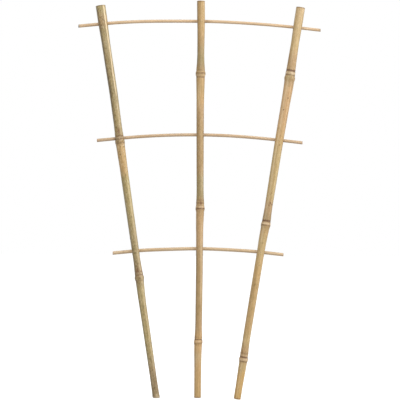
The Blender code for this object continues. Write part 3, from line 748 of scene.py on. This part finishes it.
# Grain: a cloudy pattern drawn out along a stem. Across and Along are its marks per metre either way,
# and the cloud's values between Low and High are spread out from 0 to 1.
grain = bpy.data.node_groups.new("grain", "ShaderNodeTree")
grain.interface.new_socket("Place", in_out="INPUT", socket_type="NodeSocketVector")
for socket in ("Across", "Along", "Low", "High"):
    grain.interface.new_socket(socket, in_out="INPUT", socket_type="NodeSocketFloat")
grain.interface.new_socket("Value", in_out="OUTPUT", socket_type="NodeSocketFloat")
given, result = grain.nodes.new("NodeGroupInput").outputs, grain.nodes.new("NodeGroupOutput").inputs
rates = node(grain, "CombineXYZ", {0: given["Across"], 1: given["Across"], 2: given["Along"]})
drawn = node(grain, "VectorMath", {0: given["Place"], 1: rates.outputs[0]}, operation="MULTIPLY")
noise = {"Vector": drawn.outputs[0], "Scale": 1.0, "Detail": 3.0, "Roughness": 0.55}
cloud = node(grain, "TexNoise", noise)
spread = node(grain, "MapRange", {0: cloud.outputs[0], 1: given["Low"], 2: given["High"]})
grain.links.new(spread.outputs[0], result["Value"])


def grained(tree, place, across, along, low, high):
    """One use of the grain in a material, from 0 to 1."""
    used = node(tree, "Group", node_tree=grain)
    for socket, value in (("Across", across), ("Along", along), ("Low", low), ("High", high)):
        used.inputs[socket].default_value = value
    tree.links.new(place, used.inputs["Place"])
    return used.outputs["Value"]


def amount(tree, name):
    """The strength of a mark, as it is stored on the mesh's points."""
    return node(tree, "Attribute", attribute_name=name).outputs["Fac"]


def stem_place(tree):
    """Where a point lies in its own cane or rod, as it is stored on the mesh's points."""
    return node(tree, "Attribute", attribute_name="stem").outputs["Vector"]


def new_material(name):
    made = bpy.data.materials.new(name)
    made.use_nodes = True
    return made, made.node_tree, made.node_tree.nodes["Principled BSDF"]


# Tints that the grain lays over a cane's tone, and the colours of its marks
BLOTCH_TINT = (0.86, 0.86, 0.78)
STRIPE_TINT = (0.84, 0.80, 0.72)
STREAK_TINT = (0.86, 0.80, 0.70)
FIBRE_TINT = (0.95, 0.94, 0.90)
FLECK_TINT = (0.60, 0.57, 0.42)
# Tint for painted shade along the flanks and for the skin's duller streaks
SHADE_AND_DULL_TINT = (0.42, 0.40, 0.36)
PALE_FLECK = (0.80, 0.68, 0.48)
# Colour of painted highlight right of the middle and of the skin's paler streaks
HIGHLIGHT_AND_PALE_STREAK = (0.90, 0.72, 0.46)
PALE_BAND = (0.80, 0.61, 0.43)
BUD_BROWN = (0.19, 0.09, 0.03)
# Brown of the scars, dots and sawn rims, and of the painted shade round the holes
SCAR_AND_HOLE_SHADE_BROWN = (0.17, 0.085, 0.035)
TONE_DRIFT = 0.012  # how far up and down the edge of a tone wanders, in all
PALLOR = 0.30  # how pale the pale flecks are at most
FIBRE_DEPTH = 0.00006


def cane_skin(cane):
    """Dry bamboo skin: tones that change along the cane, with streaks, blotches and fine fibre lines
    drawn out along it, dark scars, pale bands and reddish bud marks, under a thin waxy gloss. Painted
    shade darkens the flanks and the rims of the drilled holes, and painted highlight lightens streaks
    right of the middle."""
    material, tree, shader = new_material(f"{cane.name}_cane_skin")
    place = stem_place(tree)
    height = node(tree, "SeparateXYZ", {0: place}).outputs[2]
    drift = grained(tree, place, 190.0, 45.0, 0.3, 0.7)
    wandering = node(tree, "Math", {0: drift, 1: TONE_DRIFT, 2: height}, operation="MULTIPLY_ADD")
    span = {0: wandering.outputs[0], 1: TONE_DRIFT / 2, 2: CANE_LENGTH + TONE_DRIFT / 2}
    ramp = node(tree, "ValToRGB", {0: node(tree, "MapRange", span).outputs[0]})
    stops = ramp.color_ramp.elements
    stops.remove(stops[1])
    for number, (at, tone) in enumerate(cane.tones):
        stop = stops[0] if number == 0 else stops.new(at / CANE_LENGTH)
        stop.position = at / CANE_LENGTH
        stop.color = (*tone, 1.0)
    blotch = grained(tree, place, 330.0, 140.0, 0.35, 0.65)
    stripe = grained(tree, place, 640.0, 10.0, 0.38, 0.62)
    streak = grained(tree, place, 1500.0, 24.0, 0.40, 0.75)
    fibre = grained(tree, place, 4200.0, 60.0, 0.35, 0.65)
    spread = 0.08 * cane.flecks
    fleck = grained(tree, place, 480.0, 260.0, 0.64 - spread, 0.70 - spread)
    spread = 0.06 * cane.flecks
    pale_fleck = grained(tree, place, 820.0, 240.0, 0.38 + spread, 0.32 + spread)
    colour = tinted(tree, blotch, ramp.outputs[0], BLOTCH_TINT)
    colour = tinted(tree, stripe, colour, STRIPE_TINT)
    colour = tinted(tree, streak, colour, STREAK_TINT)
    colour = tinted(tree, fibre, colour, FIBRE_TINT)
    colour = tinted(tree, scaled(tree, fleck, cane.flecks), colour, FLECK_TINT)
    colour = blend(tree, scaled(tree, pale_fleck, cane.flecks * PALLOR), colour, PALE_FLECK)
    # Painted shade on the flanks and painted highlight right of the middle, with the skin's own duller
    # and paler streaks
    colour = tinted(tree, amount(tree, "dull"), colour, SHADE_AND_DULL_TINT)
    colour = blend(tree, amount(tree, "highlight_and_pale_streak"), colour, HIGHLIGHT_AND_PALE_STREAK)
    colour = blend(tree, amount(tree, "pale"), colour, PALE_BAND)
    colour = blend(tree, amount(tree, "bud"), colour, BUD_BROWN)
    # Scars, dots and sawn rims, and painted shade round each drilled hole
    colour = blend(tree, amount(tree, "dark"), colour, SCAR_AND_HOLE_SHADE_BROWN)
    tree.links.new(colour, shader.inputs["Base Color"])
    gloss = node(tree, "MapRange", {0: blotch, 3: cane.gloss - 0.05, 4: cane.gloss + 0.10})
    tree.links.new(gloss.outputs[0], shader.inputs["Roughness"])
    relief = node(tree, "Math", {0: streak, 1: fibre}, operation="ADD").outputs[0]
    bump = node(tree, "Bump", {"Strength": 0.5, "Distance": FIBRE_DEPTH, "Height": relief})
    tree.links.new(bump.outputs[0], shader.inputs["Normal"])
    return material


PITH, DARK_PITH = (0.60, 0.45, 0.27), (0.47, 0.34, 0.19)
FIBRE_BROWN, RIM_AND_HOLE_SHADE_BROWN = (0.24, 0.14, 0.06), (0.20, 0.12, 0.06)


def cane_section():
    """Cut bamboo: straw-coloured pith full of brown fibre ends, in clouds of a darker straw. It is
    browner where the skin's dark marks reach it: the sawn ends, and inside each drilled hole as painted
    shade.
    """
    material, tree, shader = new_material("cane_section")
    place = stem_place(tree)
    ends = grained(tree, place, 2600.0, 70.0, 0.55, 0.65)
    cloud = grained(tree, place, 500.0, 200.0, 0.3, 0.7)
    colour = blend(tree, cloud, PITH, DARK_PITH)
    colour = blend(tree, ends, colour, FIBRE_BROWN)
    # Stained sawn ends, and painted shade inside the drilled holes
    colour = blend(tree, amount(tree, "dark"), colour, RIM_AND_HOLE_SHADE_BROWN)
    tree.links.new(colour, shader.inputs["Base Color"])
    shader.inputs["Roughness"].default_value = 0.75
    bump = node(tree, "Bump", {"Strength": 0.6, "Distance": 0.00008, "Height": ends})
    tree.links.new(bump.outputs[0], shader.inputs["Normal"])
    return material


SHARP = 38.0  # degrees from which on an edge isn't smoothed


def show(mesh, name):
    """Makes a finished mesh an object of the scene, smooth but for its edges."""
    mesh.name = name
    mesh.shade_smooth()
    mesh.set_sharp_from_angle(angle=np.radians(SHARP))
    shown = bpy.data.objects.new(name, mesh)
    bpy.context.scene.collection.objects.link(shown)
    return shown


section = cane_section()
for cane in CANES:
    tools = [bore(cane, ends, widths) for ends, widths in bore_spans(cane)]
    tools += [rod_drill(cane, row) for row in range(3)]
    tools += [pin_drill(cane, row) for row in range(3)]
    mesh = cut_away(solid_cane(cane), tools)
    place = cane_place(cane, points_of(mesh))
    give(mesh, "stem", place)
    for name, strength in cane_marks(cane, place).items():
        give(mesh, name, strength)
    mesh.materials.clear()
    mesh.materials.append(cane_skin(cane))
    mesh.materials.append(section)
    skin_or_section(cane, mesh, place)
    piece = show(mesh, f"bamboo_cane_{cane.name}")
    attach(piece, "root")
    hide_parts(f"cane_{cane.name}")


# The rods: strips split from thick bamboo and planed round, threaded through the canes and bent down
# at both ends, so that each one bows upwards and holds the fan open.
ROD_SIDES, ROD_STEP = 36, 0.0015
ROD_BEVEL = 0.0002
ROD_FLATS, ROD_INSIDE = 0.018, 0.012  # shares of a rod's radius: its flats, and the room left for them
GREY_END = (0.20, 0.18, 0.15)
RED_END = (0.34, 0.17, 0.11)
ROD_CLOUD_TINT, ROD_STREAK_TINT = (0.88, 0.84, 0.77), (0.80, 0.72, 0.60)
# The second tint darkens a rod with painted shade beside the canes and at its darker spots.
ROD_FIBRE_TINT, ROD_SHADE_AND_SPOT_TINT = (0.93, 0.90, 0.86), (0.45, 0.38, 0.30)
END_REACHES = (0.0014, 0.0012)  # how far in the left and the right end are stained
# Painted shade on a rod to either side of each cane, where the cane shades it, and darker spots along it
CANE_SHADE, CANE_SHADE_AWAY, CANE_SHADE_REACHES = 0.35, 0.007, (0.002, 0.003)  # to either side of each cane
SPOT_DARKENING, SPOT_REACH = 0.45, 0.0012

# Rod: its widths, how far it runs past the outer canes and how dark its ends are, all left and right,
# how far each of its two bows sags, where along it dark spots lie, and the colours of its ends and skin
Rod = namedtuple("Rod", "name widths overhangs end_stains sags spots end_tone tone")
RODS = (
    Rod(
        name="top",
        widths=(0.0050, 0.0046),
        overhangs=(0.0373, 0.0349),
        end_stains=(1.0, 0.6),
        sags=(0.0, 0.0003),
        spots=(0.0090, 0.0120),
        end_tone=GREY_END,
        tone=(0.69, 0.51, 0.33),
    ),
    Rod(
        name="middle",
        widths=(0.0050, 0.0048),
        overhangs=(0.0339, 0.0351),
        end_stains=(0.5, 0.5),
        sags=(0.0, 0.0),
        spots=(-0.1260, -0.1290),
        end_tone=RED_END,
        tone=(0.64, 0.48, 0.32),
    ),
    Rod(
        name="bottom",
        widths=(0.0054, 0.0051),
        overhangs=(0.0344, 0.0344),
        end_stains=(0.4, 0.3),
        sags=(0.0005, 0.0004),
        spots=(-0.1140,),
        end_tone=RED_END,
        tone=(0.69, 0.53, 0.35),
    ),
)


def rod_axis(row, x):
    """A rod's height at x: a cubic from one crossing to the next, straight beyond the last. Each cubic
    keeps the rod's height and slope at both of its crossings, and hangs lower midway by its sag."""
    knots = np.array([crossing(cane, row)[[0, 2]] for cane in CANES])
    slopes = np.array([rod_slope(cane) for cane in CANES])
    part = np.clip(np.searchsorted(knots[:, 0], x) - 1, 0, len(CANES) - 2)
    (x0, z0), (x1, z1) = knots[part].T, knots[part + 1].T
    span, rise = x1 - x0, z1 - z0
    t = np.clip((x - x0) / span, 0.0, 1.0)
    leaving, arriving = slopes[part] * span - rise, rise - slopes[part + 1] * span
    height = z0 + t * rise + t * (1 - t) * ((1 - t) * leaving + t * arriving)
    height -= np.array(RODS[row].sags)[part] * np.square(4 * t * (1 - t))
    before, beyond = np.minimum(x - knots[0, 0], 0.0), np.maximum(x - knots[-1, 0], 0.0)
    return height + (slopes[0] * before + slopes[-1] * beyond)


def rod_mesh(rod, row):
    """Rings along the bow, each a circle that is a little flattened where the plane has passed. Square
    ends are closed by two smaller rings, and a narrow bevel runs round each."""
    start = crossing(CANES[0], row)[0] - rod.overhangs[0]
    end = crossing(CANES[-1], row)[0] + rod.overhangs[1]
    x = np.linspace(start, end, round((end - start) / ROD_STEP))
    left, right = [start, start, start, start + ROD_BEVEL], [end - ROD_BEVEL, end, end, end]
    x = np.concatenate([left, x[1:-1], right])
    shares = np.ones_like(x)
    shares[[0, 1, -2, -1]] = 0.35, 0.7, 0.7, 0.35
    turn = np.linspace(0.0, 2.0 * np.pi, ROD_SIDES, endpoint=False)
    width = np.interp(x, [start, end], rod.widths)
    flats = 1.0 + ROD_FLATS * waves(turn, x[:, None], row + 71, 0.16, (2, 3, 6)) - ROD_INSIDE
    radii = width[:, None] / 2 * flats
    radii[[2, -3]] -= ROD_BEVEL
    radii *= shares[:, None]
    centres = np.stack([x, np.zeros_like(x), rod_axis(row, x)], axis=-1)
    slope = np.gradient(centres[3:-3, 2], centres[3:-3, 0])
    slope = np.concatenate([slope[[0] * 3], slope, slope[[-1] * 3]])
    across = np.stack([-slope, np.zeros_like(x), np.ones_like(x)], axis=-1)
    across /= np.linalg.norm(across, axis=-1, keepdims=True)
    across[:4], across[-4:] = (0.0, 0.0, 1.0), (0.0, 0.0, 1.0)
    return round_skin(rod.name, centres, radii, across[:, None], np.array([0.0, -1.0, 0.0]))


def rod_skin(rod):
    """Split bamboo: pinkish straw with fine brown fibres drawn out along the rod, darkened by painted
    shade beside the canes and darker at its spots, with its ends darkened."""
    material, tree, shader = new_material(f"{rod.name}_split_bamboo")
    place = stem_place(tree)
    streak = grained(tree, place, 1700.0, 16.0, 0.42, 0.72)
    fibre = grained(tree, place, 4500.0, 40.0, 0.35, 0.65)
    cloud = grained(tree, place, 200.0, 26.0, 0.35, 0.65)
    colour = tinted(tree, cloud, rod.tone, ROD_CLOUD_TINT)
    colour = tinted(tree, streak, colour, ROD_STREAK_TINT)
    colour = tinted(tree, fibre, colour, ROD_FIBRE_TINT)
    # Painted shade beside the canes, and the darker spots
    colour = tinted(tree, amount(tree, "shade_and_spots"), colour, ROD_SHADE_AND_SPOT_TINT)
    colour = blend(tree, amount(tree, "end"), colour, rod.end_tone)
    tree.links.new(colour, shader.inputs["Base Color"])
    shader.inputs["Roughness"].default_value = 0.55
    bump = node(tree, "Bump", {"Strength": 0.5, "Distance": FIBRE_DEPTH, "Height": fibre})
    tree.links.new(bump.outputs[0], shader.inputs["Normal"])
    return material


for row, rod in enumerate(RODS):
    mesh = cut_away(rod_mesh(rod, row), [pin_drill(cane, row) for cane in CANES])
    x, y, z = points_of(mesh).T
    give(mesh, "stem", np.stack([z - rod_axis(row, x), y, x + row], axis=-1))
    left_end, right_end = hump(x, x.min(), END_REACHES[0]), hump(x, x.max(), END_REACHES[1])
    give(mesh, "end", rod.end_stains[0] * left_end + rod.end_stains[1] * right_end)
    # Painted shade to either side of each cane, and the darker spots
    from_canes = [abs(x - crossing(cane, row)[0]) for cane in CANES]
    shade_and_spots = sum(CANE_SHADE * hump(away, CANE_SHADE_AWAY, *CANE_SHADE_REACHES) for away in from_canes)
    shade_and_spots += sum(SPOT_DARKENING * hump(x, spot, SPOT_REACH) for spot in rod.spots)
    give(mesh, "shade_and_spots", shade_and_spots)
    mesh.materials.clear()
    mesh.materials.append(rod_skin(rod))
    piece = show(mesh, f"split_rod_{rod.name}")
    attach(piece, "root")
    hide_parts(f"rod_{rod.name}")


# The pins: short nails of zinc-plated wire, driven flush through the front of each cane and into the
# rod inside it, one at every crossing. Only the crowns of their heads show.
ZINC, DARK_ZINC = (0.50, 0.40, 0.26), (0.40, 0.31, 0.18)
RUST_TINT = (0.62, 0.50, 0.38)


def pin_steel(name, colour, roughness):
    """Zinc-plated wire, dulled by the weather in fine blotches."""
    material, tree, shader = new_material(name)
    place = node(tree, "TexCoord").outputs["Object"]
    spots = grained(tree, place, 3000.0, 3000.0, 0.4, 0.65)
    rusted = [channel * share for channel, share in zip(colour, RUST_TINT)]
    tree.links.new(blend(tree, spots, colour, rusted), shader.inputs["Base Color"])
    shader.inputs["Metallic"].default_value = 1.0
    shader.inputs["Roughness"].default_value = roughness
    return material


zinc = pin_steel("zinc_wire", ZINC, 0.62)
# The pin at the top left crossing is darker than the others
darker_pin = pin_steel("darker_wire", DARK_ZINC, 0.65)
for row, rod in enumerate(RODS):
    for cane in CANES:
        mesh = pin_skin("pin", pin_seat(cane, row), 0.0, 0.0)
        mesh.materials.append(darker_pin if (row, cane.name) == (0, "left") else zinc)
        piece = show(mesh, f"wire_pin_{rod.name}_{cane.name}")
        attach(piece, "root")
        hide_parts(f"pin_{rod.name}_{cane.name}")


# The studio: a pale floor that runs out of sight into a white surround, a tall soft lamp close on the
# right, a wide one in front, a weaker one overhead, and a level camera with a long lens, turned by the
# half degree that the photographed trellis leans.
SURROUND_LIGHT = 0.42  # level of light from all round, where 1 shows a colour as it is written
FLOOR_GLOW = 0.90  # makes the floor as white as the surround to the eye


def seen_directly(tree):
    """1 where the eye sees a surface itself, or its reflection in another, and 0 for its soft light."""
    path = node(tree, "LightPath").outputs
    seen = path["Is Camera Ray"]
    for ray in ("Is Glossy Ray", "Is Transmission Ray"):
        seen = node(tree, "Math", {0: seen, 1: path[ray]}, operation="MAXIMUM").outputs[0]
    return seen


FLOOR_REACH = 6.0
corners = [(-FLOOR_REACH, -FLOOR_REACH, 0.0), (FLOOR_REACH, -FLOOR_REACH, 0.0),
           (FLOOR_REACH, FLOOR_REACH, 0.0), (-FLOOR_REACH, FLOOR_REACH, 0.0)]
floor_mesh = bpy.data.meshes.new("floor")
floor_mesh.from_pydata(corners, [], [(0, 1, 2, 3)])
floor = bpy.data.objects.new("floor", floor_mesh)
bpy.context.scene.collection.objects.link(floor)
material, tree, shader = new_material("pale_floor")
shader.inputs["Base Color"].default_value = (0.45, 0.45, 0.45, 1.0)
shader.inputs["Roughness"].default_value = 0.9
shader.inputs["Emission Color"].default_value = (1.0, 1.0, 1.0, 1.0)
tree.links.new(scaled(tree, seen_directly(tree), FLOOR_GLOW), shader.inputs["Emission Strength"])
floor_mesh.materials.append(material)

world = bpy.data.worlds.new("surround")
bpy.context.scene.world = world
world.use_nodes = True
tree = world.node_tree
level = node(tree, "MapRange", {0: seen_directly(tree), 3: SURROUND_LIGHT, 4: 1.0})
tree.nodes["Background"].inputs["Color"].default_value = (1.0, 1.0, 1.0, 1.0)
tree.links.new(level.outputs[0], tree.nodes["Background"].inputs["Strength"])


LAMP_AIM = (0.0, 0.0, 0.33)


def soft_lamp(name, azimuth, elevation, distance, size, level):
    """A panel that faces the trellis. Azimuth is degrees round to the right of the camera; level is the
    light that it alone gives a surface facing it, where 1 shows a colour as it is written."""
    turn, rise = np.radians([azimuth, elevation])
    towards = Vector((np.sin(turn) * np.cos(rise), -np.cos(turn) * np.cos(rise), np.sin(rise)))
    lamp = bpy.data.lights.new(name, "AREA")
    lamp.shape = "RECTANGLE"
    lamp.size, lamp.size_y = size
    lamp.energy = level * (np.pi * distance) ** 2
    hung = bpy.data.objects.new(name, lamp)
    bpy.context.scene.collection.objects.link(hung)
    hung.location = Vector(LAMP_AIM) + towards * distance
    hung.rotation_euler = towards.to_track_quat("Z", "Y").to_euler()


soft_lamp("side_lamp", azimuth=74.0, elevation=16.0, distance=1.5, size=(0.3, 1.3), level=0.45)
soft_lamp("front_lamp", azimuth=12.0, elevation=30.0, distance=1.9, size=(1.0, 1.0), level=0.50)
soft_lamp("top_lamp", azimuth=0.0, elevation=80.0, distance=1.9, size=(1.6, 1.0), level=0.34)

LENS, SENSOR = 140.0, 36.0
VIEW_WIDTH = 0.6045  # what the photograph's 400 pixels span, at the canes
VIEW_CENTRE = (0.0012, 0.301)
ROLL = 0.498  # degrees
camera = bpy.data.cameras.new("camera")
camera.lens, camera.sensor_width = LENS, SENSOR
seat = bpy.data.objects.new("camera", camera)
bpy.context.scene.collection.objects.link(seat)
roll = np.radians(ROLL)
turned = Matrix(((np.cos(roll), -np.sin(roll), 0.0), (0.0, 0.0, -1.0), (np.sin(roll), np.cos(roll), 0.0)))
stand = Vector((VIEW_CENTRE[0], -VIEW_WIDTH * LENS / SENSOR, VIEW_CENTRE[1]))
seat.matrix_world = Matrix.Translation(stand) @ turned.to_4x4()
bpy.context.scene.camera = seat
bpy.context.scene.view_settings.view_transform = "Standard"
